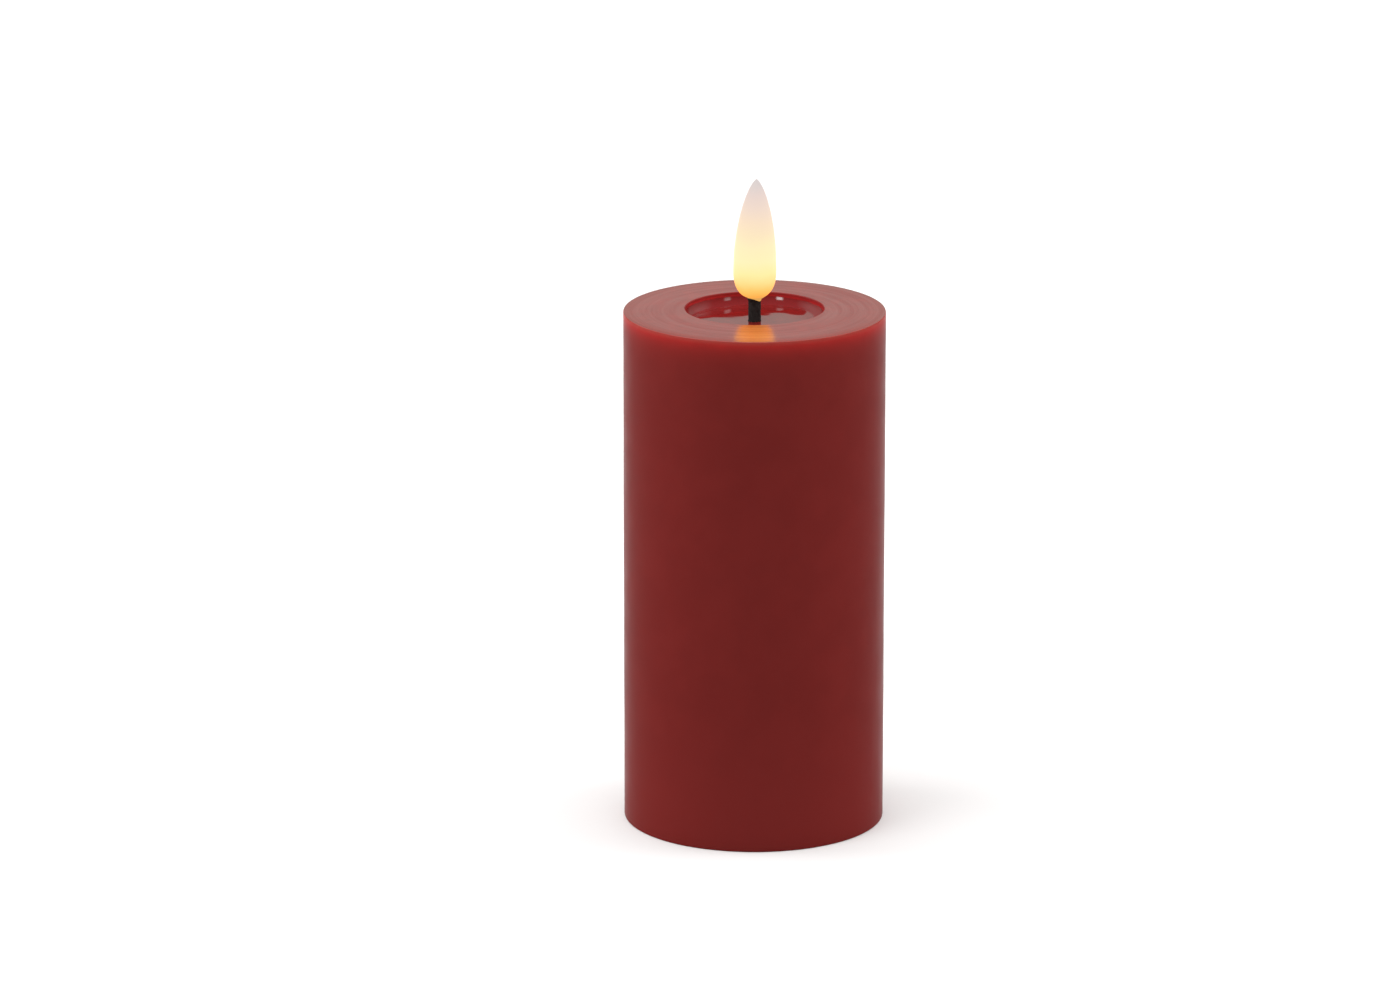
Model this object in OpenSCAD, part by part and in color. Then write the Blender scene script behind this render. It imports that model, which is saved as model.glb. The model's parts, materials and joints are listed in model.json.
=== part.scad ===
// Flameless LED pillar candle. A real-wax pillar holds a glossy melt pool, a black wick and a
// lit flame bulb. A plastic core cup lines the wax, and a module with two AA cells, a control
// board and a slide switch closes it from below.
// Millimetres. The origin is the centre of the base ring on the table, +Z is up, and -Y is the
// side that faces the viewer.

/* [Wax pillar] */
// Outer diameter of the pillar
body_d = 75; // [75:1:90]
// Height of the pillar, table to rim
body_h = 150; // [125:1:200]
// Thickness of the wax wall
wax_wall = 6.3; // [5:0.1:6.3]
// Thickness of the wax at the top
wax_top = 12; // [10:1:16]
// Diameter of the opening in the top
pool_d = 39.4; // [34:0.2:46]
// Distance of the opening's centre behind the pillar's axis
pool_back = 2.6; // [0:0.1:3]
// Depth of the melt pool's floor below the rim
pool_depth = 3.2; // [3:0.1:4.5]
// Radius of the meniscus where the pool meets the wall
meniscus_r = 3; // [1:0.1:3.2]

/* [Flame and wick] */
// Height of the flame bulb
flame_h = 34.6; // [28:0.1:42]
// Widest diameter of the flame bulb
flame_d = 12.6; // [11:0.2:16]
// Height of the flame's lowest point above the rim
flame_lift = 3.7; // [1:0.1:6]
// Outer diameter of the wick sleeve
wick_d = 3.8; // [3.4:0.1:4]

/* [Battery module] */
// Diameter of one AA cell
cell_d = 14.5; // [14.1:0.1:14.5]
// Length of one AA cell with its button
cell_l = 50.5; // [49:0.1:50.5]
// Height of the base plate's underside above the table
plate_z = 1; // [0.6:0.1:1]
// Thickness of the base plate and of the door
plate_t = 2; // [2:0.1:2.4]
// Width of the battery door
door_w = 36; // [36:1:38]
// Travel of the switch knob between on and off
switch_travel = 2.5; // [2:0.1:3]

/* [Hidden] */
$fn = 96;
eps = 0.1; // how far a cut runs past the face that it opens

// Wax and core cup
body_r = body_d / 2;
pool_r = pool_d / 2;
core_bore_r = body_r - wax_wall; // bore of the wax that takes the core cup
core_r = core_bore_r - 0.1;
core_wall = 1.2;
core_top = body_h - wax_top; // underside of the top wax, and top of the core cup
core_disc_t = 1.5;
pool_z = body_h - pool_depth;
outer_edge_r = 0.5;
pool_edge_r = 0.6;
seat_r = core_bore_r + 3; // counterbore that the base plate sits in
plate_top = plate_z + plate_t;

// Wick and flame
wick_r = wick_d / 2;
wick_bore_r = 1.2;
wick_fit = 0.03; // radial gap round the wick sleeve
flame_z = body_h + flame_lift;
wick_top = flame_z + 1.6; // the sleeve's end inside the flame
socket_r = 4.5; // boss that holds the wick
socket_top = pool_z - 3.4;
socket_bottom = core_top - 8;
wick_bottom = socket_bottom + 1;
led_r = 1.5;
led_collar_r = 1.9;
led_z = wick_top;
lead_r = 0.25;
lead_spread = 0.6; // each lead's distance from the wick's axis
sleeve_r = 0.85;
sleeve_l = 10;
sleeve_z = socket_bottom - 14; // lower end of the heat-shrink sleeves
wire_r = 0.6;
wire_spread = 1;

// Cells, standing side by side: cell A has its button up, cell B has its button down
cell_r = cell_d / 2;
button_r = 2.75;
button_h = 1;
cell_x = cell_r + 0.45;
cell_y = 6;
well_r = cell_r + 0.35;
well_wall = 1.6;
plate_contact_t = 0.4;
contact_gap = 0.05; // keeps a contact just clear of a cell
door_spring_h = 4.2;
cell_a_z = plate_top + plate_contact_t + door_spring_h;
dimple_h = 1;
cell_b_z = plate_top + plate_contact_t + dimple_h;
contact_z = cell_a_z + cell_l + 0.5; // underside of the top contacts
ceiling_z = contact_z + plate_contact_t;
ceiling_t = 1.6;
tab_w = 3;
tab_top = ceiling_z + ceiling_t + 3;
tab_y = cell_y - 5.5;

// Battery door: it swings down on two trunnions at its +Y end
barrel_r = 1.8;
hinge_y = cell_y + well_r + well_wall + 0.2 + barrel_r;
hinge_z = plate_z + barrel_r;
trunnion_r = 0.9;
trunnion_l = 1.7;
trunnion_fit = 0.07;
door_end_y = -5;
door_gap = 0.3; // gap round the door in its pocket
pocket_end_y = door_end_y - 0.4;
pocket_z = plate_top + 0.2; // ceiling of the door's pocket
shelf_t = 2;
shelf_margin = 3.2;
tongue_w = 11.2;
tongue_slot = 0.8;
tongue_l = 5.5;

// Control board, standing upright in front of the battery well
board_w = 36;
board_t = 1.6;
board_y = -8; // face towards the cells
board_z = 5;
board_h = 53;
board_front = board_y - board_t;
board_screw_x = 12;
board_screw_z = 40;
board_screw_r = 0.9;
switch_w = 12;
switch_d = 5;
switch_h = 5.5;
switch_y = board_front - switch_d / 2;
knob_w = 3.4;
knob_d = 2.4;
knob_z = 0.4;

// Base screws, into bosses of the core cup
base_screw_angles = [-30, 90, 210];
base_screw_ring = core_r - 3.2;
base_screw_r = 1.25;
base_screw_l = 10;
base_head_r = 2.4;
base_head_h = 0.9;
base_boss_r = 2.9;
boss_z = plate_top + 0.4;

// Routes of the insulated wires
plug_x = 8;
plug_y = board_front - 3;
plug_z = board_z + board_h - 4.9;
plug_h = 8.4;
plug_top = plug_z + plug_h - 1.6; // floor of the holes that the wires enter

// Both LED wires run from the plug to the heat-shrink sleeves; side is -1 or 1
function led_wire_route(side) = [
    [plug_x + side * wire_spread, plug_y, plug_top],
    [plug_x + side * wire_spread, plug_y, plug_top + 5],
    [plug_x - 0.6 + side * wire_spread, plug_y + 1.2, plug_top + 12],
    [plug_x - 2.2 + side * wire_spread, plug_y + 4, plug_top + 21],
    [plug_x - 4.2 + side * wire_spread, plug_y + 7.6, plug_top + 30],
    [plug_x - 6.4 + side * wire_spread, plug_y + 10.8, plug_top + 39],
    [plug_x - 7.7 + side * wire_spread, plug_y + 12.3, plug_top + 47],
    [side * wire_spread, 0, sleeve_z - 3],
    [side * wire_spread, 0, sleeve_z]
];

// Each battery lead runs from a contact's tab over the well to the back of the board
function battery_lead_route(x, board_x) = [
    [x, tab_y, tab_top - 1],
    [x, tab_y - 1.5, tab_top - 1],
    [x, tab_y - 3, tab_top - 1.3],
    [(x + board_x) / 2, tab_y - 4.4, tab_top - 2.6],
    [board_x, tab_y - 5.2, tab_top - 4.6],
    [board_x, tab_y - 6, board_z + board_h - 1.8],
    [board_x, board_y + 1.6, board_z + board_h - 3],
    [board_x, board_y + 0.9, board_z + board_h - 3.2],
    [board_x, board_y, board_z + board_h - 3.2]
];

// ---- Shapes that repeat ----

// Points of an arc about [x, z] from angle a to angle b
function arc(x, z, r, a, b, steps = 6) =
    [for (i = [0 : steps]) let (t = a + (b - a) * i / steps) [x + r * cos(t), z + r * sin(t)]];

function unit(v) = v / norm(v);

function path_dir(p, i) = unit(p[min(i + 1, len(p) - 1)] - p[max(i - 1, 0)]);

// One ring of a tube about c; ref is a direction that the path never takes
function tube_ring(c, dir, ref, r, sides) =
    let (u = unit(cross(ref, dir)), w = cross(dir, u))
    [for (k = [0 : sides - 1]) c + r * (cos(360 * k / sides) * u + sin(360 * k / sides) * w)];

// A round tube that follows a list of points
module tube_along(path, r, ref, sides = 8) {
    count = len(path);
    points = [for (i = [0 : count - 1]) each tube_ring(path[i], path_dir(path, i), ref, r, sides)];
    walls = [for (i = [0 : count - 2], k = [0 : sides - 1])
        let (a = i * sides + k, b = i * sides + (k + 1) % sides)
        each [[a, a + sides, b + sides], [a, b + sides, b]]];
    first = [for (k = [0 : sides - 1]) k];
    last = [for (k = [sides - 1 : -1 : 0]) (count - 1) * sides + k];
    polyhedron(points = points, faces = concat(walls, [first, last]));
}

// Points between the corners of a route, on a smooth curve through them
function smooth_route(p, steps = 3) = concat(
    [for (i = [0 : len(p) - 2], s = [0 : steps - 1])
        let (t = s / steps,
             a = p[max(i - 1, 0)], b = p[i], c = p[i + 1], d = p[min(i + 2, len(p) - 1)])
        0.5 * (2 * b + (c - a) * t + (2 * a - 5 * b + 4 * c - d) * t * t
            + (3 * b - a - 3 * c + d) * t * t * t)],
    [p[len(p) - 1]]);

// A conical compression spring that stands on z = 0
module coil_spring(height, turns = 3.5, r_foot = 4.6, r_tip = 2.8, wire = 0.35) {
    steps = round(turns * 16);
    lift = height - 2 * wire;
    path = [for (i = [0 : steps])
        let (t = i / steps, a = 360 * turns * t, r = r_foot + (r_tip - r_foot) * t)
        [r * cos(a), r * sin(a), wire + lift * t]];
    tube_along(path, wire, [0, 0, 1], 6);
}

// Outline of two circles side by side, as the two cells stand
module cell_outline(r) {
    translate([-cell_x, cell_y]) circle(r);
    translate([cell_x, cell_y]) circle(r);
    translate([-cell_x, cell_y - r]) square([2 * cell_x, 2 * r]);
}

// A self-tapping screw with its head's underside at z = 0, pointing up
module pan_screw(shank_r, shank_l, head_r, head_h) {
    difference() {
        union() {
            translate([0, 0, -head_h]) cylinder(r = head_r, h = head_h);
            cylinder(r = shank_r, h = shank_l - shank_r);
            translate([0, 0, shank_l - shank_r]) cylinder(r1 = shank_r, r2 = 0.3, h = shank_r);
        }
        for (a = [0, 90]) rotate([0, 0, a])
            translate([-head_r * 0.65, -head_r * 0.13, -head_h - eps])
                cube([head_r * 1.3, head_r * 0.26, head_h * 0.55 + eps]);
    }
}

// An AA cell standing on z = 0 with its button up
module aa_cell() {
    edge = 0.6;
    body_l = cell_l - button_h;
    rotate_extrude() polygon(concat(
        [[0, 0]],
        arc(cell_r - edge, edge, edge, -90, 0),
        arc(cell_r - edge, body_l - edge, edge, 0, 90),
        [[button_r, body_l]],
        arc(button_r - 0.3, cell_l - 0.3, 0.3, 0, 90),
        [[0, cell_l]]
    ));
}

// ---- Wax and core ----

// The opening is cut a little behind the axis, and its upper edge is rounded over
module wax_pillar() color("firebrick") difference() {
    rotate_extrude($fn = 180) polygon(concat(
        arc(body_r - outer_edge_r, outer_edge_r, outer_edge_r, -90, 0),
        arc(body_r - outer_edge_r, body_h - outer_edge_r, outer_edge_r, 0, 90),
        [
            [0, body_h],
            [0, core_top],
            [core_bore_r, core_top],
            [core_bore_r, plate_top],
            [seat_r, plate_top],
            [seat_r, 0]
        ]
    ));
    translate([0, pool_back, 0]) rotate_extrude($fn = 180) polygon(concat(
        [[0, body_h + eps], [pool_r + pool_edge_r, body_h + eps]],
        arc(pool_r + pool_edge_r, body_h - pool_edge_r, pool_edge_r, 90, 180),
        [[pool_r, core_top - eps], [0, core_top - eps]]
    ));
}

// The meniscus stops short of the wall's tangent, so that its upper edge has a thickness
module pool_wax() color("firebrick") difference() {
    translate([0, pool_back, 0]) rotate_extrude($fn = 180) polygon(concat(
        [
            [0, core_top],
            [pool_r, core_top],
            [pool_r, pool_z + meniscus_r * (1 - sin(20))]
        ],
        arc(pool_r - meniscus_r, pool_z + meniscus_r, meniscus_r, -20, -90, 8),
        [[0, pool_z]]
    ));
    translate([0, 0, core_top - eps]) cylinder(r = socket_r, h = socket_top - core_top + eps);
    translate([0, 0, core_top]) cylinder(r = wick_r + wick_fit, h = pool_z - core_top + eps);
}

module core_cup() color("gainsboro") difference() {
    union() {
        rotate_extrude($fn = 180) polygon([
            [core_r - core_wall, plate_top],
            [core_r, plate_top],
            [core_r, core_top],
            [socket_r, core_top],
            [socket_r, socket_top],
            [wick_r + wick_fit, socket_top],
            [wick_r + wick_fit, socket_bottom],
            [socket_r, socket_bottom],
            [socket_r, core_top - core_disc_t],
            [core_r - core_wall, core_top - core_disc_t]
        ]);
        for (a = base_screw_angles) rotate([0, 0, a])
            translate([base_screw_ring, 0, boss_z]) cylinder(r = base_boss_r, h = 13, $fn = 48);
    }
    for (a = base_screw_angles) rotate([0, 0, a])
        translate([base_screw_ring, 0, boss_z - eps])
            cylinder(r = base_screw_r + wick_fit, h = 11 + eps, $fn = 48);
}

// ---- Wick, flame and LED ----

module wick_tube() color("black") translate([0, 0, wick_bottom]) difference() {
    cylinder(r = wick_r, h = wick_top - wick_bottom);
    translate([0, 0, -eps]) cylinder(r = wick_bore_r, h = wick_top - wick_bottom + 2 * eps);
}

// Radius of the flame as a share of its widest, at a share t of its height: a rounded bowl up to
// the widest point, then a long taper to the tip
flame_waist = 0.24;
function flame_share(t) = t < flame_waist
    ? pow(1 - pow(1 - t / flame_waist, 2.5), 0.4)
    : pow(1 - pow((t - flame_waist) / (1 - flame_waist), 2), 0.7);

module flame_bulb() color("lightyellow") translate([0, 0, flame_z]) {
    steps = 40;
    floor_r = wick_r + 0.5;
    hole_r = wick_r + wick_fit;
    hollow_r = led_collar_r + wick_fit;
    hollow_top = led_z - flame_z + 6.2;
    rotate_extrude() polygon(concat(
        [[hole_r, 0]],
        [[floor_r, 0]],
        [for (i = [1 : steps - 1])
            let (t = (1 - cos(180 * i / steps)) / 2)
            [max(t < flame_waist ? floor_r : 0, flame_d / 2 * flame_share(t)), flame_h * t]],
        [[0, flame_h], [0, hollow_top]],
        arc(0, hollow_top - hollow_r, hollow_r, 80, 0),
        [[hollow_r, led_z - flame_z], [hole_r, led_z - flame_z]]
    ));
}

module flame_led() color("khaki") translate([0, 0, led_z]) {
    cylinder(r = led_collar_r, h = 1);
    translate([0, 0, 1]) cylinder(r = led_r, h = 2.8);
    translate([0, 0, 3.8]) sphere(led_r);
}

module led_leads() color("silver") for (side = [-1, 1])
    translate([side * lead_spread, 0, sleeve_z + sleeve_l])
        cylinder(r = lead_r, h = led_z - sleeve_z - sleeve_l, $fn = 24);

module lead_sleeves() color("dimgray") for (side = [-1, 1])
    translate([side * wire_spread, 0, sleeve_z])
        cylinder(r = sleeve_r, h = sleeve_l, $fn = 32);

module led_wire_red() color("red")
    tube_along(smooth_route(led_wire_route(-1)), wire_r, [1, 0, 0]);

module led_wire_black() color("black")
    tube_along(smooth_route(led_wire_route(1)), wire_r, [1, 0, 0]);

// ---- Control board and what is on it ----

module control_board() color("darkgreen") difference() {
    translate([-board_w / 2, board_front, board_z]) cube([board_w, board_t, board_h]);
    for (side = [-1, 1]) translate([side * board_screw_x, board_front - eps, board_screw_z])
        rotate([-90, 0, 0]) cylinder(r = board_screw_r + 0.2, h = board_t + 2 * eps, $fn = 32);
}

module board_screws() color("silver") for (side = [-1, 1])
    translate([side * board_screw_x, board_front, board_screw_z]) rotate([-90, 0, 0])
        pan_screw(board_screw_r, 6.6, 1.9, 0.9, $fn = 32);

// Eight-pin chip, with legs on its left and right
module controller_chip() color("dimgray") translate([0, board_front, 30]) {
    translate([-2, -1.65, -2.5]) cube([4, 1.5, 5]);
    for (side = [-1, 1], k = [-1.5 : 1 : 1.5]) translate([side * 2.5 - 0.6, -0.8, k * 1.27 - 0.2]) {
        cube([1.2, 0.2, 0.4]);
        translate([side > 0 ? 1 : 0, 0, 0]) cube([0.2, 0.8, 0.4]);
    }
}

module filter_capacitor() color("black") translate([11, board_front, 24]) rotate([90, 0, 0]) {
    cylinder(r = 2.5, h = 0.9, $fn = 48);
    translate([0, 0, 0.9]) cylinder(r = 2.3, h = 0.5, $fn = 48);
    translate([0, 0, 1.4]) cylinder(r = 2.5, h = 5.6, $fn = 48);
}

module timer_crystal() color("silver") translate([-13, board_front - 1.05, 24]) {
    rotate([0, 90, 0]) cylinder(r = 1.05, h = 6, $fn = 32);
    for (z = [-0.4, 0.4]) translate([6, -0.1, z - 0.1]) cube([2, 0.2, 0.2]);
}

module board_resistors() color("saddlebrown") for (at = [[-12, 32], [-8, 32], [8, 36], [12, 33]])
    translate([at[0] - 1, board_front - 0.55, at[1] - 0.6]) cube([2, 0.55, 1.2]);

// The receiver looks out through the wax, towards -Y
module ir_receiver() color("black") translate([-10, board_front, 50]) {
    translate([-2.8, -6, -3.4]) cube([5.6, 3.4, 6.8]);
    translate([0, -6, 0.4]) sphere(2, $fn = 48);
    for (x = [-1.9, 0, 1.9]) translate([x - 0.25, -2.6, -2.8]) cube([0.5, 2.6, 0.5]);
}

module board_header() color("white") translate([plug_x, plug_y, board_z + board_h - 6]) difference() {
    translate([-3.4, -2.6, 0]) cube([6.8, 5.6, 6]);
    translate([-2.7, -1.9, 1]) cube([5.4, 4.2, 5 + eps]);
}

// The wires enter two holes in the plug's top and end on their floors
module wire_plug() color("ivory") difference() {
    union() {
        translate([plug_x - 2.6, plug_y - 1.8, plug_z]) cube([5.2, 4, plug_h]);
        translate([plug_x - 1.2, plug_y - 2.4, plug_z + 5.2]) cube([2.4, 0.7, 2.4]);
    }
    for (side = [-1, 1]) translate([plug_x + side * wire_spread, plug_y, plug_top])
        cylinder(r = wire_r + 0.1, h = plug_h, $fn = 24);
}

// A metal can with a slot below, in which the knob's foot slides
module switch_body() color("silver") translate([0, switch_y, board_z]) difference() {
    translate([-switch_w / 2, -switch_d / 2, 0]) cube([switch_w, switch_d, switch_h]);
    translate([-switch_w / 2 + 0.6, -switch_d / 2 + 0.6, 1])
        cube([switch_w - 1.2, switch_d - 1.2, switch_h - 2]);
    slot_w = knob_w + switch_travel + 0.6;
    translate([-slot_w / 2, -knob_d / 2 - 0.2, -eps]) cube([slot_w, knob_d + 0.4, 1 + 2 * eps]);
}

// The knob at rest is at its on end, towards -X
module switch_knob() color("whitesmoke") translate([-switch_travel / 2, switch_y, 0]) {
    translate([-knob_w / 2, -knob_d / 2, knob_z]) cube([knob_w, knob_d, board_z + 1.8 - knob_z]);
    translate([-knob_w / 2 - 0.8, -knob_d / 2 - 0.5, board_z + 1.2])
        cube([knob_w + 1.6, knob_d + 1, 2]);
    for (x = [-1, 0, 1]) translate([x - 0.2, -knob_d / 2, knob_z - 0.2]) cube([0.4, knob_d, 0.3]);
}

// ---- Base housing and battery door ----

module base_housing() color("dimgray") difference() {
    union() {
        translate([0, 0, plate_z]) cylinder(r = seat_r - 0.2, h = plate_t, $fn = 180);
        translate([-door_w / 2 - shelf_margin, pocket_end_y - 2, plate_top])
            cube([door_w + 2 * shelf_margin, hinge_y + barrel_r - pocket_end_y + 4, shelf_t + 0.2]);
        translate([0, 0, plate_top]) linear_extrude(ceiling_z + ceiling_t - plate_top)
            cell_outline(well_r + well_wall);
        board_bosses();
        well_ribs();
        switch_marks();
    }
    translate([0, 0, plate_z - eps]) linear_extrude(ceiling_z - plate_z + eps)
        cell_outline(well_r);
    door_pocket();
    board_pilot_holes();
    contact_slots();
    switch_window();
    base_screw_holes();
}

module board_bosses() for (side = [-1, 1])
    translate([side * board_screw_x, board_y, board_screw_z])
        rotate([-90, 0, 0]) cylinder(r = 2.4, h = 8, $fn = 32);

module board_pilot_holes() for (side = [-1, 1])
    translate([side * board_screw_x, board_y - eps, board_screw_z]) rotate([-90, 0, 0])
        cylinder(r = board_screw_r + wick_fit, h = 5.6 + eps, $fn = 32);

// Gussets that steady the well on the plate
module well_ribs() for (side = [-1, 1]) scale([side, 1, 1])
    translate([cell_x + well_r, cell_y + 0.8, plate_top]) rotate([90, 0, 0])
        linear_extrude(1.6) polygon([[0, 0], [10, 0], [10, 3], [well_wall, 24], [0, 24]]);

// Raised marks beside the knob: a bar at the on end and a ring at the off end
module switch_marks() {
    translate([-9.2, switch_y - 1.2, plate_z - 0.2]) cube([0.6, 2.4, 0.3]);
    translate([9, switch_y, plate_z - 0.2]) difference() {
        cylinder(r = 1.3, h = 0.3, $fn = 48);
        translate([0, 0, -eps]) cylinder(r = 0.8, h = 0.2 + eps, $fn = 48);
    }
}

module door_pocket() {
    half = door_w / 2 + door_gap;
    translate([-half, pocket_end_y, plate_z - eps])
        cube([2 * half, hinge_y + barrel_r + door_gap - pocket_end_y, pocket_z - plate_z + eps]);
    translate([-half, hinge_y - barrel_r - 0.15, plate_z - eps])
        cube([2 * half, 2 * barrel_r + 0.15 + door_gap, 2 * barrel_r + 0.3 + eps]);
    for (side = [-1, 1]) translate([side * (half - eps), hinge_y, hinge_z])
        rotate([0, side * 90, 0])
            cylinder(r = trunnion_r + trunnion_fit, h = trunnion_l + 0.2 + eps, $fn = 48);
    // Groove for the latch's bump, and a scoop for a fingertip
    translate([-4.4, pocket_end_y - 0.35, plate_top - 0.9]) cube([8.8, 0.35 + eps, 1]);
    translate([0, pocket_end_y, plate_z - eps]) cylinder(r = 3.4, h = plate_t / 2 + eps, $fn = 64);
}

module contact_slots() for (side = [-1, 1])
    translate([side * cell_x - tab_w / 2 - 0.1, tab_y - 0.1, ceiling_z - eps])
        cube([tab_w + 0.2, plate_contact_t + 0.2, ceiling_t + 2 * eps]);

module switch_window() {
    slot_w = knob_w + switch_travel + 0.6;
    translate([-slot_w / 2, switch_y - knob_d / 2 - 0.3, plate_z - eps])
        cube([slot_w, knob_d + 0.6, plate_t + 2 * eps]);
    translate([-slot_w / 2 - 2.4, switch_y - 2.6, plate_z - eps])
        cube([slot_w + 4.8, 5.2, plate_t * 0.4 + eps]);
}

module base_screw_holes() for (a = base_screw_angles) rotate([0, 0, a])
    translate([base_screw_ring, 0, plate_z - eps]) {
        cylinder(r = base_screw_r + 0.15, h = plate_t + 2 * eps, $fn = 48);
        cylinder(r = base_head_r + 0.3, h = base_head_h + 0.1 + eps, $fn = 48);
    }

module base_screws() color("silver") for (a = base_screw_angles) rotate([0, 0, a])
    translate([base_screw_ring, 0, plate_z + base_head_h + 0.1])
        pan_screw(base_screw_r, base_screw_l, base_head_r, base_head_h, $fn = 48);

module battery_door() color("darkslategray") difference() {
    union() {
        translate([-door_w / 2, door_end_y, plate_z]) cube([door_w, hinge_y - door_end_y, plate_t]);
        translate([-door_w / 2, hinge_y, hinge_z]) rotate([0, 90, 0])
            cylinder(r = barrel_r, h = door_w, $fn = 48);
        translate([-door_w / 2 - trunnion_l, hinge_y, hinge_z]) rotate([0, 90, 0])
            cylinder(r = trunnion_r, h = door_w + 2 * trunnion_l, $fn = 48);
        // Bump on the latch's tongue
        translate([-4, door_end_y - 0.28, plate_top - 0.7]) cube([8, 0.28 + eps, 0.6]);
        // Grip ribs on the tongue
        for (k = [0 : 2]) translate([-4, door_end_y + 0.8 + 1.5 * k, plate_z - 0.3])
            cube([8, 0.7, 0.3 + eps]);
    }
    for (side = [-1, 1])
        translate([side * (tongue_w + tongue_slot) / 2 - tongue_slot / 2, door_end_y - eps, plate_z - eps])
            cube([tongue_slot, tongue_l + eps, plate_t + 2 * eps]);
}

// ---- Cells and their contacts ----

// Strip on the door that joins the two cells, with a raised dimple under cell B
module bridge_contact() color("silver") {
    translate([-13, cell_y - 5, plate_top]) cube([26, 10, plate_contact_t]);
    translate([cell_x, cell_y, plate_top + plate_contact_t])
        cylinder(r1 = 2.6, r2 = 1.6, h = dimple_h - contact_gap, $fn = 48);
}

module door_spring() color("silver")
    translate([-cell_x, cell_y, plate_top + plate_contact_t])
        coil_spring(door_spring_h - contact_gap);

module top_plate(x) {
    translate([x - 5.5, tab_y, contact_z]) cube([11, 11, plate_contact_t]);
    translate([x - tab_w / 2, tab_y, contact_z]) cube([tab_w, plate_contact_t, tab_top - contact_z]);
}

module positive_contact() color("silver") {
    top_plate(-cell_x);
    translate([-cell_x, cell_y, contact_z - 0.5 + contact_gap])
        cylinder(r1 = 1.6, r2 = 2.6, h = 0.5 - contact_gap, $fn = 48);
}

module negative_contact() color("silver") top_plate(cell_x);

module top_spring() color("silver") translate([cell_x, cell_y, contact_z]) mirror([0, 0, 1])
    coil_spring(contact_z - cell_b_z - cell_l - contact_gap);

module aa_cell_left() color("goldenrod") translate([-cell_x, cell_y, cell_a_z]) aa_cell();

module aa_cell_right() color("goldenrod") translate([cell_x, cell_y, cell_b_z + cell_l])
    mirror([0, 0, 1]) aa_cell();

module battery_lead_red() color("red")
    tube_along(smooth_route(battery_lead_route(-cell_x, -5)), wire_r, [1, 0, 0]);

module battery_lead_black() color("black")
    tube_along(smooth_route(battery_lead_route(cell_x, 5)), wire_r, [1, 0, 0]);

wax_pillar();
pool_wax();
core_cup();
wick_tube();
flame_bulb();
flame_led();
led_leads();
lead_sleeves();
led_wire_red();
led_wire_black();
wire_plug();
board_header();
control_board();
controller_chip();
filter_capacitor();
timer_crystal();
board_resistors();
ir_receiver();
board_screws();
switch_body();
switch_knob();
base_housing();
base_screws();
battery_door();
bridge_contact();
door_spring();
positive_contact();
negative_contact();
top_spring();
aa_cell_left();
aa_cell_right();
battery_lead_red();
battery_lead_black();
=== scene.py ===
import json
import math

import bpy
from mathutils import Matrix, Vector, noise


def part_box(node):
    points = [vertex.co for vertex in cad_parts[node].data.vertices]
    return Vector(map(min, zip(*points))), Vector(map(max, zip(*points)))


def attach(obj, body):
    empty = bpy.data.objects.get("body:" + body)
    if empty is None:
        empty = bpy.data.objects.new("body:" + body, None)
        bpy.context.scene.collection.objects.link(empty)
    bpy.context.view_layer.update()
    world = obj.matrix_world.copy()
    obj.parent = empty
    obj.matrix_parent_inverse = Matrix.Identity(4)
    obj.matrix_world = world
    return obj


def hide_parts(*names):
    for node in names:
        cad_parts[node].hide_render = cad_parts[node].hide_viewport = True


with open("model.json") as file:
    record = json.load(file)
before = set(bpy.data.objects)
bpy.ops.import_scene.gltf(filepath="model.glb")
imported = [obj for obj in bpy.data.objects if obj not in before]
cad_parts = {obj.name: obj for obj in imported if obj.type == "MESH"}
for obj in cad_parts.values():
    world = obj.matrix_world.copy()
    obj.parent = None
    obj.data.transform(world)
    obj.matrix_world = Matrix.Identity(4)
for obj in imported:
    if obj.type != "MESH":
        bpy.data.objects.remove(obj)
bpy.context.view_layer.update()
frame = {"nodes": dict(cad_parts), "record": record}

MM = 0.001

# ---- Sizes: most come from the frame, and the rest repeat the CAD model's own values ----

wax_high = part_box("wax_pillar")[1]
pool_low, pool_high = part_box("pool_wax")
cup_low, cup_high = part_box("core_cup")
plate_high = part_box("base_housing")[1]
wick_low, wick_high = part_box("wick_tube")
flame_low, flame_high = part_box("flame_bulb")

BODY_R = wax_high.x
BODY_H = wax_high.z
POOL_R = pool_high.x
POOL_BACK = (pool_low.y + pool_high.y) / 2
WICK_R = wick_high.x
FLAME_R = flame_high.x
FLAME_H = flame_high.z - flame_low.z
BORE_R = cup_high.x + 0.1 * MM
SEAT_R = plate_high.x + 0.2 * MM
SEAT_Z = cup_low.z
MENISCUS_R = 3 * MM
MENISCUS_STOP = math.radians(20)    # the CAD meniscus stops this far short of upright
MENISCUS_END = math.cos(MENISCUS_STOP)
POOL_Z = pool_high.z - MENISCUS_R * (1 - math.sin(MENISCUS_STOP))
EDGE_R = 0.4 * MM    # rounding of the body's top and bottom edges
LIP_R = 0.35 * MM    # rounding of the opening's edge
WORN = 0.04 * MM     # how far the top has rounded off by the time it meets the side
# The cut top lies between these two radii, the inner one measured from the opening's centre
CUT_R = BODY_R - EDGE_R
CUT_INNER_R = POOL_R + LIP_R
CELL_X = 7.7 * MM    # the cells stand this far to the left and right, and this far back
CELL_Y = 6 * MM


# ---- Node materials ----

def srgb(red, green, blue):
    """A colour given as it looks on screen, 0 to 255, as the linear colour that Blender wants."""
    def linear(value):
        share = value / 255
        return share / 12.92 if share <= 0.04045 else ((share + 0.055) / 1.055) ** 2.4
    return (linear(red), linear(green), linear(blue), 1.0)


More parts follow.
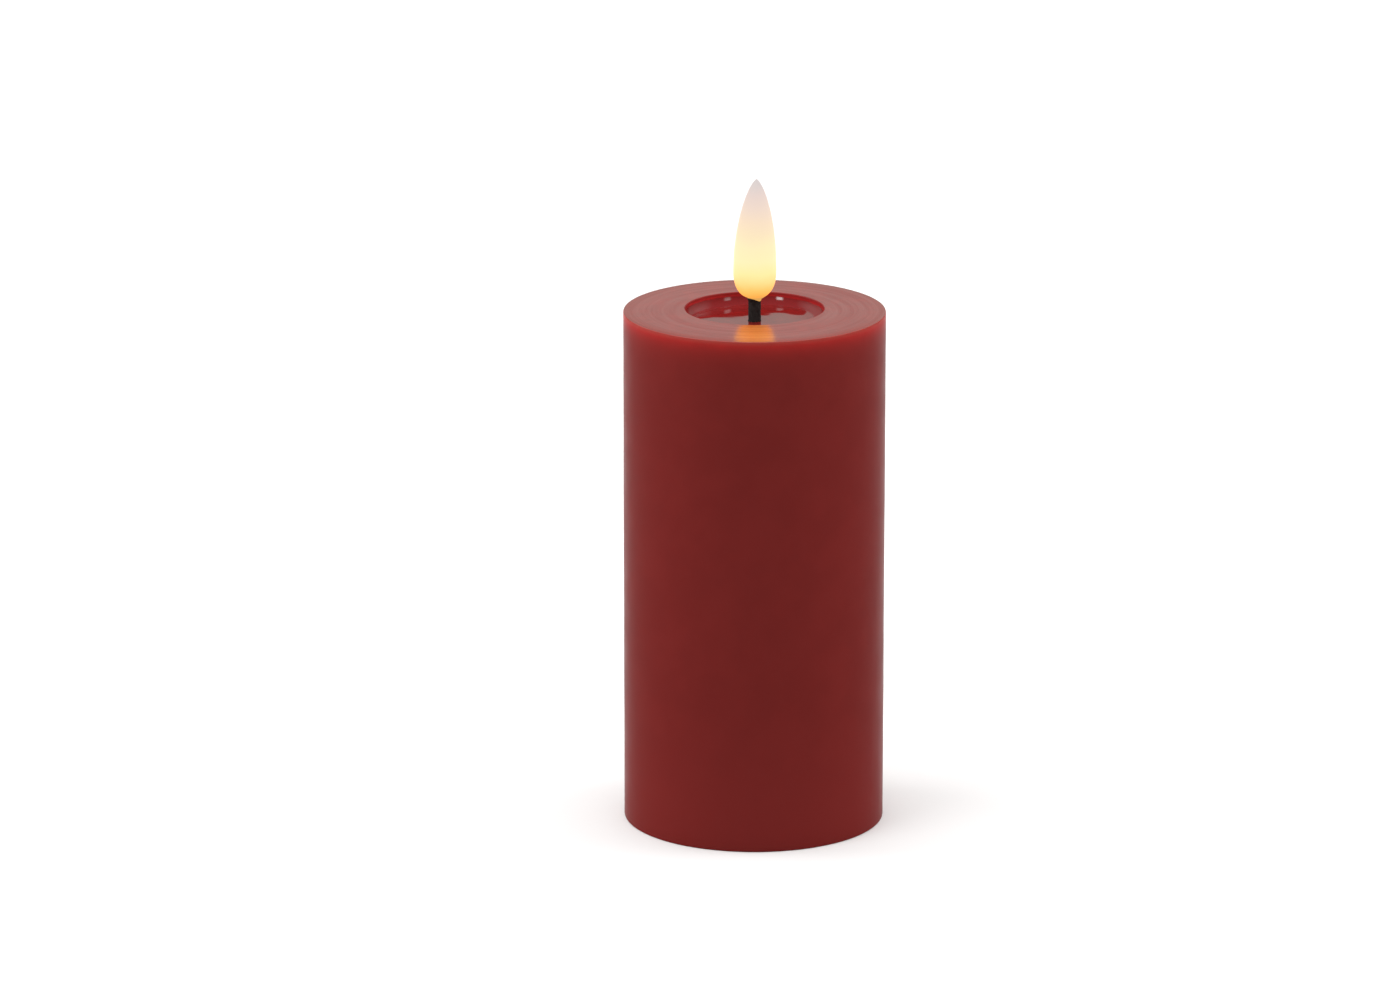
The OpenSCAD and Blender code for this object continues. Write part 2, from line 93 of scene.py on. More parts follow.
def fill_ramp(ramp, stops, blend):
    """Colours at positions from 0 to 1; the blend CONSTANT gives bands with hard edges."""
    ramp.interpolation = blend
    ramp.elements.remove(ramp.elements[1])
    ramp.elements[0].position, ramp.elements[0].color = stops[0]
    for position, colour in stops[1:]:
        ramp.elements.new(position).color = colour


class Shader:
    """A material under construction: short names for the nodes that this scene uses."""

    def __init__(self, name, roughness=0.5, ior=1.45, metallic=0.0):
        self.material = bpy.data.materials.new(name)
        self.material.use_nodes = True
        self.tree = self.material.node_tree
        self.bsdf = self.tree.nodes["Principled BSDF"]
        self.set("Roughness", roughness)
        self.set("IOR", ior)
        self.set("Metallic", metallic)
        self.place = self.node("ShaderNodeTexCoord").outputs["Object"]

    def node(self, kind, **settings):
        made = self.tree.nodes.new(kind)
        for key, value in settings.items():
            setattr(made, key, value)
        return made

    def link(self, source, target):
        self.tree.links.new(source, target)

    def set(self, socket, value):
        """A number or colour that is the same all over sits on the shader's own socket."""
        self.bsdf.inputs[socket].default_value = value

    def feed(self, socket, source):
        self.link(source, self.bsdf.inputs[socket])

    def math(self, operation, first, second=0.0, clamp=False):
        made = self.node("ShaderNodeMath", operation=operation, use_clamp=clamp)
        for place, value in enumerate((first, second)):
            if isinstance(value, (int, float)):
                made.inputs[place].default_value = value
            else:
                self.link(value, made.inputs[place])
        return made.outputs[0]

    def axis(self, letter):
        split = self.node("ShaderNodeSeparateXYZ")
        self.link(self.place, split.inputs[0])
        return split.outputs[letter]

    def radius(self, back=0.0):
        """Distance from the candle's axis, or from an upright line that far behind it."""
        across = self.math("POWER", self.axis("X"), 2.0)
        along = self.math("POWER", self.minus(self.axis("Y"), back), 2.0)
        return self.math("SQRT", self.math("ADD", across, along))

    def product(self, first, second):
        return self.math("MULTIPLY", first, second)

    def minus(self, first, second):
        return self.math("SUBTRACT", first, second)

    def stretched(self, scale):
        """The place, scaled apart along X, Y and Z."""
        mapping = self.node("ShaderNodeMapping")
        mapping.inputs["Scale"].default_value = scale
        self.link(self.place, mapping.inputs["Vector"])
        return mapping.outputs[0]

    def noise(self, size_mm, detail=3.0, roughness=0.55, place=None):
        """Noise whose features are about size_mm across."""
        made = self.node("ShaderNodeTexNoise")
        made.inputs["Scale"].default_value = 1.0 / (size_mm * MM)
        made.inputs["Detail"].default_value = detail
        made.inputs["Roughness"].default_value = roughness
        self.link(place or self.place, made.inputs["Vector"])
        return made.outputs["Fac"]

    def uneven(self, size_mm, detail, out_low, out_high):
        """Soft patches about size_mm across, between out_low and out_high."""
        return self.span(self.noise(size_mm, detail), 0.3, 0.7, out_low, out_high)

    def span(self, value, low, high, out_low=0.0, out_high=1.0, smooth=False):
        """value from low..high carried to out_low..out_high, and held at both ends."""
        made = self.node("ShaderNodeMapRange")
        made.interpolation_type = "SMOOTHSTEP" if smooth else "LINEAR"
        made.inputs["From Min"].default_value = low
        made.inputs["From Max"].default_value = high
        made.inputs["To Min"].default_value = out_low
        made.inputs["To Max"].default_value = out_high
        self.link(value, made.inputs["Value"])
        return made.outputs["Result"]

    def ramp(self, value, stops, blend="LINEAR"):
        made = self.node("ShaderNodeValToRGB")
        fill_ramp(made.color_ramp, stops, blend)
        self.link(value, made.inputs["Fac"])
        return made.outputs["Color"]

    def mix(self, share, first, second, blend="MIX"):
        made = self.node("ShaderNodeMix", data_type="RGBA", blend_type=blend)
        for socket, value in ((0, share), (6, first), (7, second)):
            if isinstance(value, (int, float, tuple)):
                made.inputs[socket].default_value = value
            else:
                self.link(value, made.inputs[socket])
        return made.outputs[2]

    def bump(self, height, depth_mm, strength=1.0, base=None):
        """Relief of depth_mm between height 0 and height 1."""
        made = self.node("ShaderNodeBump")
        made.inputs["Strength"].default_value = strength
        made.inputs["Distance"].default_value = depth_mm * MM
        self.link(height, made.inputs["Height"])
        if base:
            self.link(base, made.inputs["Normal"])
        return made.outputs["Normal"]


def tinted(shader, colour, share, size_mm, low=0.42, high=0.62):
    """colour with soft lighter and darker patches that differ by share either way."""
    patches = shader.span(shader.noise(size_mm, 4.0), low, high)
    dark = tuple(channel * (1 - share) for channel in colour[:3]) + (1.0,)
    light = tuple(min(1.0, channel * (1 + share)) for channel in colour[:3]) + (1.0,)
    return shader.mix(patches, dark, light)


# ---- Wax, pool, wick and flame materials ----

def wax_side_material():
    shader = Shader("wax_side", ior=1.07)
    height = shader.axis("Z")
    body = tinted(shader, srgb(102, 32, 30), 0.03, 11.0)
    low = shader.span(height, 45 * MM, 0.0, smooth=True)
    body = shader.mix(low, body, srgb(107, 34, 32))
    # Light that leaks in over the top edge dies out within the first centimetre of wax
    depth = shader.minus(height, BODY_H)
    ragged = shader.math("ADD", depth, shader.uneven(6.0, 3.0, -0.3 * MM, 0.3 * MM))
    glow = shader.math("EXPONENT", shader.math("DIVIDE", ragged, 2.4 * MM), clamp=True)
    body = shader.mix(glow, body, srgb(168, 38, 36))
    # Painted highlight: a pale band just under the top edge
    painted_edge_highlight = shader.span(height, BODY_H - 1.4 * MM, BODY_H - 0.2 * MM)
    shader.feed("Base Color", shader.mix(painted_edge_highlight, body, srgb(142, 54, 48)))
    # Mould marks: faint upright streaks over an orange-peel skin
    streaks = shader.noise(1.4, 2.0, place=shader.stretched((1.0, 1.0, 0.03)))
    skin = shader.bump(shader.noise(4.0, 2.0), 0.02, 0.15)
    shader.feed("Normal", shader.bump(streaks, 0.006, 0.15, skin))
    shader.feed("Roughness", shader.uneven(9.0, 1.0, 0.28, 0.34))
    shader.set("Subsurface Weight", 0.1)
    shader.set("Subsurface Radius", (1.0, 0.12, 0.08))
    shader.set("Subsurface Scale", 1.5 * MM)
    return shader.material


def turned_marks(shader, pitch_mm):
    """Noise that runs round the axis in rings, as a blade leaves it, with no seam."""
    split = shader.node("ShaderNodeSeparateXYZ")
    around = shader.node("ShaderNodeVectorMath", operation="NORMALIZE")
    flat = shader.stretched((1.0, 1.0, 0.0))
    shader.link(flat, around.inputs[0])
    shader.link(around.outputs[0], split.inputs[0])
    rings = shader.node("ShaderNodeCombineXYZ")
    for axis in "XY":
        shader.link(shader.product(split.outputs[axis], 0.8 * pitch_mm * MM), rings.inputs[axis])
    shader.link(shader.radius(), rings.inputs["Z"])
    return shader.noise(pitch_mm, 3.0, 0.6, place=rings.outputs[0])


DISH = 2.0    # the hollow's height over its squared distance from DISH_R, per metre
DISH_R = 23 * MM


def wax_top_material():
    shader = Shader("wax_top", ior=1.5)
    rings = turned_marks(shader, 1.6)
    body = tinted(shader, srgb(150, 26, 18), 0.08, 5.0)
    rim = shader.span(shader.radius(), BODY_R - 5 * MM, BODY_R, smooth=True)
    body = shader.mix(rim, body, srgb(148, 38, 30))
    grooves = shader.span(rings, 0.35, 0.65, 0.0, 0.3)
    shader.feed("Base Color", shader.mix(grooves, body, srgb(120, 18, 14)))
    # The blade left the front of the ring very slightly hollow between its two edges
    front = shader.span(shader.axis("Y"), -6 * MM, -26 * MM)
    out = shader.minus(shader.radius(), DISH_R)
    hollow = shader.product(shader.product(out, out), front)
    hollow = shader.bump(hollow, DISH / MM)
    fine = shader.bump(shader.noise(0.35, 2.0), 0.004, 0.3, hollow)
    shader.feed("Normal", shader.bump(rings, 0.03, 0.5, fine))
    shader.feed("Roughness", shader.span(rings, 0.3, 0.7, 0.1, 0.2))
    gloss = shader.span(rings, 0.35, 0.65, 1.0, 0.6)
    unrubbed = shader.minus(1.0, shader.product(rim, front))
    shader.feed("Coat Weight", shader.product(gloss, unrubbed))
    shader.set("Coat Roughness", 0.15)
    shader.set("Coat IOR", 1.7)
    return shader.material


def wax_wall_material():
    shader = Shader("wax_wall", roughness=0.4, ior=1.25)
    height = shader.axis("Z")
    body = tinted(shader, srgb(170, 38, 40), 0.08, 3.0)
    # Painted shade: the wall darkens low in the opening, towards the pool
    painted_shade_low = shader.span(height, POOL_Z + 2.0 * MM, POOL_Z + 0.6 * MM)
    body = shader.mix(painted_shade_low, body, srgb(132, 30, 32))
    lip = shader.span(height, BODY_H - 0.8 * MM, BODY_H - 0.2 * MM)
    shader.feed("Base Color", shader.mix(lip, body, srgb(132, 28, 28)))
    shader.feed("Normal", shader.bump(shader.noise(1.2), 0.03, 0.4))
    return shader.material


def wax_bore_material():
    """The inside of the shell and its foot, which only shows from below."""
    shader = Shader("wax_bore", roughness=0.55, ior=1.38)
    shader.feed("Base Color", tinted(shader, srgb(118, 16, 18), 0.12, 4.0))
    shader.feed("Normal", shader.bump(shader.noise(0.8, 4.0), 0.06, 0.5))
    return shader.material


def pool_material():
    shader = Shader("melt_pool", ior=1.2)
    body = tinted(shader, srgb(124, 24, 22), 0.08, 4.0)
    specks = shader.span(shader.noise(0.5, 2.0), 0.66, 0.72)
    body = shader.mix(shader.product(specks, 0.4), body, srgb(168, 52, 50))
    shader.feed("Normal", shader.bump(shader.noise(2.5, 2.0), 0.05, 0.25))
    # The poured surface is glossy, and duller where it climbs the wall, but for both ends of the
    # opening and two shiny runs
    out = shader.radius(POOL_BACK)
    climb = shader.span(out, POOL_R - 3.0 * MM, POOL_R - 2.3 * MM)
    side = shader.axis("X")
    ends = shader.span(shader.math("ABSOLUTE", side), 12 * MM, 17 * MM, 1.0, 0.6)
    climb = shader.product(climb, ends)
    high = shader.span(out, POOL_R - 0.65 * MM, POOL_R - 0.4 * MM)
    for run in (-7.8 * MM, 7.2 * MM):
        off = shader.math("ABSOLUTE", shader.minus(side, run))
        near = shader.product(high, shader.span(off, 1.2 * MM, 0.5 * MM))
        climb = shader.product(climb, shader.minus(1.0, near))
    shader.feed("Base Color", shader.mix(climb, body, srgb(122, 26, 28)))
    shader.feed("Roughness", shader.span(climb, 0.0, 1.0, 0.06, 0.65))
    shader.feed("Coat Weight", shader.minus(1.0, climb))
    shader.set("Coat Roughness", 0.05)
    shader.set("Coat IOR", 1.8)
    return shader.material


def wick_material():
    shader = Shader("charred_wick", roughness=0.75, ior=1.4)
    shader.feed("Base Color", tinted(shader, srgb(30, 29, 28), 0.45, 0.8))
    shader.feed("Normal", shader.bump(shader.noise(0.35, 5.0), 0.12, 0.7))
    return shader.material


def flame_material():
    shader = Shader("flame_diffuser", roughness=0.5, ior=1.2)
    height = shader.minus(shader.axis("Z"), flame_low.z)
    wander = shader.uneven(7.0, 2.0, -0.4 * MM, 0.4 * MM)
    share = shader.span(shader.math("ADD", height, wander), 0.0, FLAME_H)
    glow = shader.ramp(share, [
        (0.0, srgb(206, 162, 84)),
        (0.03, srgb(230, 172, 80)),
        (0.09, srgb(248, 196, 108)),
        (0.16, srgb(252, 219, 142)),
        (0.23, srgb(252, 235, 166)),
        (0.33, srgb(254, 240, 186)),
        (0.46, srgb(253, 238, 190)),
        (0.56, srgb(251, 230, 192)),
        (0.66, srgb(248, 224, 196)),
        (0.76, srgb(240, 218, 202)),
        (0.88, srgb(230, 211, 204)),
        (1.0, srgb(214, 206, 205)),
    ])
    # The LED sits low in the bulb, so the lower half gives off far more red than a screen shows
    near_led = shader.span(share, 0.5, 0.1, smooth=True)
    foot = shader.span(share, 0.0, 0.06, 0.3, 1.0)
    extra = shader.product(near_led, foot)
    glow = shader.mix(extra, glow, (0.43, 0.05, 0.0, 1.0), "ADD")
    shader.set("Base Color", srgb(40, 36, 32))
    shader.feed("Emission Color", glow)
    shader.set("Emission Strength", 1.0)
    shader.feed("Normal", shader.bump(shader.noise(1.4, 3.0), 0.03, 0.3))
    return shader.material


# ---- Materials of the inner parts ----

def moulded(name, colour, roughness, grain_mm=0.5, depth_mm=0.03, ior=1.46, share=0.06):
    """Moulded plastic: a fine spark-eroded grain and slightly uneven colour."""
    shader = Shader(name, ior=ior)
    shader.feed("Base Color", tinted(shader, colour, share, 7.0))
    shader.feed("Normal", shader.bump(shader.noise(grain_mm, 3.0), depth_mm, 0.5))
    shader.feed("Roughness", shader.uneven(3.0, 4.0, roughness - 0.06, roughness + 0.08))
    return shader.material


def metal(name, colour, roughness, grain=(1.0, 1.0, 0.06)):
    """Plated metal: drawn or rolled lines along one direction, with dull patches."""
    shader = Shader(name, metallic=1.0)
    shader.feed("Base Color", tinted(shader, colour, 0.1, 3.0))
    lines = shader.noise(0.12, 3.0, place=shader.stretched(grain))
    shader.feed("Normal", shader.bump(lines, 0.008, 0.5))
    shader.feed("Roughness", shader.uneven(1.6, 4.0, roughness - 0.08, roughness + 0.12))
    return shader.material


def board_material():
    """Solder mask over copper tracks that run up and across the board."""
    shader = Shader("board", roughness=0.32, ior=1.5)
    cells = shader.node("ShaderNodeTexBrick", offset=0.37, squash=1.0)
    cells.inputs["Scale"].default_value = 1.0
    cells.inputs["Mortar Size"].default_value = 0.3 * MM
    cells.inputs["Brick Width"].default_value = 5.1 * MM
    cells.inputs["Row Height"].default_value = 2.3 * MM
    upright = shader.node("ShaderNodeCombineXYZ")
    shader.link(shader.axis("X"), upright.inputs["X"])
    shader.link(shader.axis("Z"), upright.inputs["Y"])
    shader.link(upright.outputs[0], cells.inputs["Vector"])
    mask = tinted(shader, srgb(18, 92, 48), 0.12, 6.0)
    shader.feed("Base Color", shader.mix(cells.outputs["Fac"], mask, srgb(46, 128, 66)))
    shader.feed("Normal", shader.bump(cells.outputs["Fac"], 0.03, 0.5))
    return shader.material


def cell_material(low, high, button_up):
    """A plain metallised jacket, with a bright band and a bare can at the button's end."""
    shader = Shader("cell_jacket_up" if button_up else "cell_jacket_down", ior=1.5)
    height = shader.axis("Z")
    from_button = shader.minus(high.z, height) if button_up else shader.minus(height, low.z)
    share = shader.span(from_button, 0.0, high.z - low.z)
    jacket = shader.ramp(share, [
        (0.0, srgb(196, 196, 194)),
        (0.04, srgb(188, 132, 52)),
        (0.34, srgb(38, 40, 44)),
    ], "CONSTANT")
    worn = shader.span(shader.noise(2.0, 5.0), 0.55, 0.75, 0.0, 0.3)
    shader.feed("Base Color", shader.mix(worn, jacket, srgb(120, 118, 112)))
    shader.set("Metallic", 0.7)
    shader.feed("Roughness", shader.uneven(1.2, 4.0, 0.24, 0.4))
    shader.feed("Normal", shader.bump(shader.noise(3.0, 2.0), 0.03, 0.3))
    return shader.material


SLOT_MATERIALS = {
    "core_plastic": moulded("core_plastic", srgb(222, 218, 210), 0.45),
    "led_epoxy": moulded("led_epoxy", srgb(240, 222, 168), 0.12, 0.8, 0.01, 1.54),
    "tin": metal("tin", srgb(205, 205, 203), 0.3),
    "sleeve": moulded("sleeve", srgb(30, 30, 32), 0.55, 0.3, 0.04),
    "wire_red": moulded("wire_red", srgb(188, 28, 26), 0.42, 0.3, 0.01),
    "wire_black": moulded("wire_black", srgb(28, 28, 30), 0.42, 0.3, 0.01),
    "plug_nylon": moulded("plug_nylon", srgb(228, 222, 204), 0.4, 0.3, 0.01),
    "board": board_material(),
    "chip_black": moulded("chip_black", srgb(34, 34, 36), 0.6, 0.15, 0.01),
    "capacitor": moulded("capacitor", srgb(34, 36, 66), 0.35, 0.6, 0.01),
    "nickel": metal("nickel", srgb(210, 206, 196), 0.28, (1.0, 0.06, 1.0)),
    "resistor": moulded("resistor", srgb(40, 42, 46), 0.35, 0.2, 0.01),
    "receiver_black": moulded("receiver_black", srgb(30, 20, 24), 0.16, 0.8, 0.008, 1.52),
    "screw_steel": metal("screw_steel", srgb(176, 176, 178), 0.34, (1.0, 1.0, 1.0)),
    "knob_plastic": moulded("knob_plastic", srgb(208, 208, 204), 0.42, 0.3, 0.02),
    "base_plastic": moulded("base_plastic", srgb(46, 44, 45), 0.52, 0.45, 0.05),
    "spring_steel": metal("spring_steel", srgb(196, 196, 192), 0.26),
}


def finish_cad_nodes():
    """Gives every CAD node that stays its procedural material."""
    for row in frame["record"]["subparts"]:
        slot = row["material_slot"]
        target = frame["nodes"][row["node"]]
        if slot == "cell_jacket":
            low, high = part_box(row["node"])
            finish = cell_material(low, high, row["node"] == "aa_cell_left")
        elif slot in SLOT_MATERIALS:
            finish = SLOT_MATERIALS[slot]
        else:
            continue
        target.data.materials.clear()
        target.data.materials.append(finish)


# ---- Turned meshes ----

def add_object(name, data):
    made = bpy.data.objects.new(name, data)
    bpy.context.scene.collection.objects.link(made)
    return made


def ring_mesh(name, rings, segments, closed, materials, face_material, capped=True):
    """A mesh of rings of points: rings[i](angle) is a point, and face_material(i) is the slot
    index of the band between ring i and the next. closed joins the last ring to the first, and
    capped fills the two end rings of a mesh that isn't closed."""
    count = len(rings)
    points = [ring(2 * math.pi * k / segments) for ring in rings for k in range(segments)]
    bands = count if closed else count - 1
    faces = []
    slots = []
    for i in range(bands):
        j = (i + 1) % count
        for k in range(segments):
            n = (k + 1) % segments
            faces.append((i * segments + k, i * segments + n, j * segments + n, j * segments + k))
            slots.append(face_material(i))
    if capped and not closed:
        faces.append(tuple(range(segments - 1, -1, -1)))
        slots.append(face_material(0))
        faces.append(tuple((count - 1) * segments + k for k in range(segments)))
        slots.append(face_material(bands - 1))
    mesh = bpy.data.meshes.new(name)
    mesh.from_pydata([tuple(p) for p in points], [], faces)
    for material in materials:
        mesh.materials.append(material)
    for polygon, slot in zip(mesh.polygons, slots):
        polygon.material_index = slot
        polygon.use_smooth = True
    mesh.update()
    return add_object(name, mesh)


def sharpen(piece, degrees):
    """Keeps edges sharper than the angle crisp under smooth shading."""
    piece.data.set_sharp_from_angle(angle=math.radians(degrees))


def relief(x, y, z, size_mm, octaves=3):
    """Smooth noise between about -1 and 1, the same on every run."""
    return noise.fractal(Vector((x, y, z)) / (size_mm * MM), 0.6, 2.0, octaves)


def arc(x, z, r, first, last, steps):
    """Points of an arc, with its angles in degrees."""
    turns = [math.radians(first + (last - first) * i / steps) for i in range(steps + 1)]
    return [(x + r * math.cos(turn), z + r * math.sin(turn)) for turn in turns]


def steps_between(low, high, count):
    """The values that cut low..high into count even steps, without the two ends."""
    return [low + (high - low) * i / count for i in range(1, count)]


# ---- The candle's visible pieces ----

# What a ring of the shell belongs to. The first four are also the material slots, in this order;
# RIM is the rounded edge of the top, which has the top's finish but the plain shape.
SIDE, TOP, WALL, BORE, RIM = range(5)


def wax_ring(r, z, kind, back):
    """A ring of the shell, its centre that far behind the axis. The side and the top only ever
    dip in from the true shape."""
    def point(angle):
        x = r * math.cos(angle)
        y = r * math.sin(angle)
        radius, height = r, z
        if kind == SIDE:
            radius -= 0.03 * MM + 0.08 * MM * (1 + relief(x, y, z * 0.6, 16.0)) / 2
        elif kind == TOP:
            blade = relief(0.2 * x / r * MM, 0.2 * y / r * MM, r, 1.3, 2)
            swell = relief(x, y, z, 14.0)
            worn = WORN * max(0.0, 1 - (CUT_R - r) / (2.5 * MM)) ** 2
            height -= (0.008 * (1 + blade) + 0.04 * (1 + swell)) / 2 * MM + worn
        elif kind == WALL:
            radius += 0.08 * MM * relief(x, y, z, 5.0)
        return radius * math.cos(angle), radius * math.sin(angle) + back, height
    return point


def wax_shell():
    """The body, turned from its outline: up the side, in over the top and down the opening, then
    out and down inside. The rings of the top drift back to the opening's own centre."""
    edge_z = BODY_H - WORN - EDGE_R
    outline = [(r, z, SIDE, 0) for r, z in arc(CUT_R, EDGE_R, EDGE_R, -90, 0, 4)]
    outline += [(BODY_R, z, SIDE, 0) for z in steps_between(EDGE_R, edge_z, 90)]
    outline += [(r, z, SIDE, 0) for r, z in arc(CUT_R, edge_z, EDGE_R, 0, 40, 3)]
    outline += [(r, z, RIM, 0) for r, z in arc(CUT_R, edge_z, EDGE_R, 55, 85, 2)]
    outline += [
        (r, BODY_H, TOP, POOL_BACK * (CUT_R - r) / (CUT_R - CUT_INNER_R))
        for r in steps_between(CUT_R, CUT_INNER_R, 64)]
    outline += [
        (r, z, WALL, POOL_BACK)
        for r, z in arc(CUT_INNER_R, BODY_H - LIP_R, LIP_R, 90, 180, 6)]
    outline += [
        (POOL_R, z, WALL, POOL_BACK) for z in steps_between(BODY_H - LIP_R, cup_high.z, 16)]
    outline += [
        (POOL_R, pool_low.z, BORE, POOL_BACK),
        (BORE_R, pool_low.z, BORE, 0),
        (BORE_R, SEAT_Z, BORE, 0),
        (SEAT_R, SEAT_Z, BORE, 0),
        (SEAT_R, 0.0, BORE, 0)]
    rings = [wax_ring(*row) for row in outline]
    kinds = [row[2] for row in outline]
    finishes = [wax_side_material(), wax_top_material(), wax_wall_material(), wax_bore_material()]
    shell = ring_mesh("wax_shell", rings, 288, True, finishes,
                      lambda i: TOP if kinds[i] == RIM else kinds[i])
    sharpen(shell, 32)
    return shell


def degrees_from(angle, heading):
    """How far angle is from heading, both in degrees, between -180 and 180."""
    return (angle - heading + 180) % 360 - 180


def pool_height(r, angle):
    """Height of the poured wax at r from the opening's centre: it climbs the wall and sags in
    soft waves."""
    x = r * math.cos(angle)
    y = r * math.sin(angle)
    # The climb reaches further in at the right end of the opening
    turned = degrees_from(math.degrees(angle), 14)
    reach = MENISCUS_R * MENISCUS_END + 1.9 * MM * math.exp(-(turned / 26) ** 2)
    inward = max(0.0, 1 - (POOL_R - r) / reach)
    wall_rise = MENISCUS_R * (1 - math.sqrt(1 - (MENISCUS_END * inward) ** 2))
    # It set in one long wave from front to back, which tips its right end and the rest of it
    # opposite ways
    tip = 0.04 * math.tanh((x - 7.5 * MM) / (7 * MM)) + 0.004
    tip += max(0.0, 10 * (x - 12.5 * MM))
    wave = 6 * MM
    swell = tip * wave * math.sin((y - wave) / wave)
    waves = swell + 0.05 * MM * relief(x, y, 0.0, 9.0, 2)
    return POOL_Z + wall_rise + waves * (1 - inward)


def melt_pool():
    """Rings that widen from the wick to the opening, whose centre lies behind the wick. They are
    closer together where the wax climbs the wall."""
    hole_r = WICK_R + 0.03 * MM
    even = POOL_R - MENISCUS_R
    radii = [hole_r] + steps_between(hole_r, even, 50)
    radii += [even + MENISCUS_R * math.sin(math.pi / 2 * i / 20) for i in range(21)]

    def surface_ring(r):
        back = POOL_BACK * (r - hole_r) / (POOL_R - hole_r)
        return lambda angle: (
            r * math.cos(angle), r * math.sin(angle) + back, pool_height(r, angle))

    def flat_ring(r, z, back=0.0):
        return lambda angle: (r * math.cos(angle), r * math.sin(angle) + back, z)

    socket_r = 4.5 * MM
    rings = [surface_ring(r) for r in reversed(radii)]
    rings += [
        flat_ring(hole_r, cup_high.z),
        flat_ring(socket_r, cup_high.z),
        flat_ring(socket_r, pool_low.z),
        flat_ring(POOL_R, pool_low.z, POOL_BACK)]
    pool = ring_mesh("melt_pool", rings, 192, True, [pool_material()], lambda i: 0)
    sharpen(pool, 50)
    return pool


def charred_wick():
    """The wick sleeve: a twisted, charred skin, with a lump on one side just under the flame."""
    low, high = wick_low.z, wick_high.z
    count = 70
    strands = 5
    lump_z = flame_low.z - 0.25 * MM
    lump_angle = math.radians(215)

    def wick_ring(z):
        def point(angle):
            x = math.cos(angle)
            y = math.sin(angle)
            twist = math.sin(strands * angle + z / (0.55 * MM))
            char = relief(x * MM, y * MM, z, 0.9, 4)
            r = WICK_R - MM * (0.03 + 0.03 * (1 + twist) + 0.05 * (1 + char))
            lump = math.exp(-((z - lump_z) / (0.35 * MM)) ** 2)
            r += 0.5 * MM * lump * max(0.0, math.cos(angle - lump_angle)) ** 2
            return r * x, r * y, z
        return point

    heights = [low + (high - low) * (i / count) for i in range(count + 1)]
    return ring_mesh("charred_wick", [wick_ring(z) for z in heights], 56, False,
                     [wick_material()], lambda i: 0)


WAIST = 0.24    # share of the flame's height at which it is widest


def flame_share(t):
    """The flame's radius at share t of its height, as a share of its widest radius."""
    if t < WAIST:
        return (1 - (1 - t / WAIST) ** 2.5) ** 0.4
    return (1 - ((t - WAIST) / (1 - WAIST)) ** 2) ** 0.7


def flame_bulb():
    """The moulded flame: a drop shape that leans a little, with a run of resin at its foot."""
    foot_r = WICK_R + 0.15 * MM
    tip_r = 0.02 * MM
    run_heading = 318

    def flame_ring(t):
        def point(angle):
            r = max(FLAME_R * 0.985 * flame_share(t), foot_r if t < WAIST else tip_r)
            x = math.cos(angle)
            y = math.sin(angle)
            r *= 1 - 0.012 * (1 + relief(x * 6 * MM, y * 6 * MM, t * FLAME_H, 8.0, 2))
            z = flame_low.z + FLAME_H * t
            off = math.radians(degrees_from(math.degrees(angle), run_heading))
            run = math.exp(-off ** 2 / 0.32)
            z -= 0.75 * MM * run * math.exp(-t / 0.012)
            lean = 0.5 * MM * t ** 1.6
            return r * x + lean, r * y, z
        return point

    steps = 72
    shares = [(1 - math.cos(math.pi * i / steps)) / 2 for i in range(steps)] + [0.9999]
    return ring_mesh("flame_diffuser", [flame_ring(t) for t in shares], 96, False,
                     [flame_material()], lambda i: 0)


def coil(name, node, upward):
    """A round-wire conical spring in place of the faceted one, on the axis of its cell."""
    low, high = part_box(node)
    wire = 0.35 * MM
    foot_r = 4.6 * MM
    tip_r = 2.8 * MM
    turns = 3.5
    centre = Vector((math.copysign(CELL_X, low.x + high.x), CELL_Y, 0))
    steps = int(turns * 40)
    points = []
    for i in range(steps + 1):
        t = i / steps
        a = 2 * math.pi * turns * t
        r = foot_r + (tip_r - foot_r) * t
        rise = wire + (high.z - low.z - 2 * wire) * t
        z = low.z + rise if upward else high.z - rise
        points.append(centre + Vector((r * math.cos(a), r * math.sin(a), z)))
    curve = bpy.data.curves.new(name, "CURVE")
    curve.dimensions = "3D"
    curve.bevel_depth = wire
    curve.bevel_resolution = 4
    curve.use_fill_caps = True
    spline = curve.splines.new("POLY")
    spline.points.add(len(points) - 1)
    for target, point in zip(spline.points, points):
        target.co = (*point, 1.0)
    curve.materials.append(SLOT_MATERIALS["spring_steel"])
    return add_object(name, curve)


# ---- Stage, light and camera ----

DIM = (0.17, 0.165, 0.152, 1.0)
HAZE = (0.25, 0.244, 0.225, 1.0)
BRIGHT = (1.0, 1.0, 1.0, 1.0)


def floor_material():
    shader = Shader("floor", roughness=0.7, ior=1.3)
    shader.feed("Base Color", tinted(shader, (0.86, 0.86, 0.86, 1.0), 0.006, 300.0))
    return shader.material


def surround_material():
    shader = Shader("surround", roughness=1.0)
    shader.set("Base Color", srgb(0, 0, 0))
    shader.feed("Emission Color", tinted(shader, srgb(250, 250, 250), 0.004, 900.0))
    shader.set("Emission Strength", 1.0)
    return shader.material


def floor_and_surround():
    size = 8.0
    corners = [(-size, -size, 0), (size, -size, 0), (size, size, 0), (-size, size, 0)]
    mesh = bpy.data.meshes.new("floor")
    mesh.from_pydata(corners, [], [(0, 1, 2, 3)])
    mesh.materials.append(floor_material())
    floor = add_object("floor", mesh)
    floor.location.z = -0.02 * MM

    # A plain white surround for low views, where the camera sees past the floor. It neither
    # lights the candle nor shows in its gloss.
    def surround_ring(z):
        return lambda angle: (size * math.cos(angle), size * math.sin(angle), z)

    walls = ring_mesh("surround", [surround_ring(-0.1), surround_ring(6.0)], 64, False,
                      [surround_material()], lambda i: 0, capped=False)
    for ray in ("diffuse", "glossy", "transmission", "shadow"):
        setattr(walls, "visible_" + ray, False)


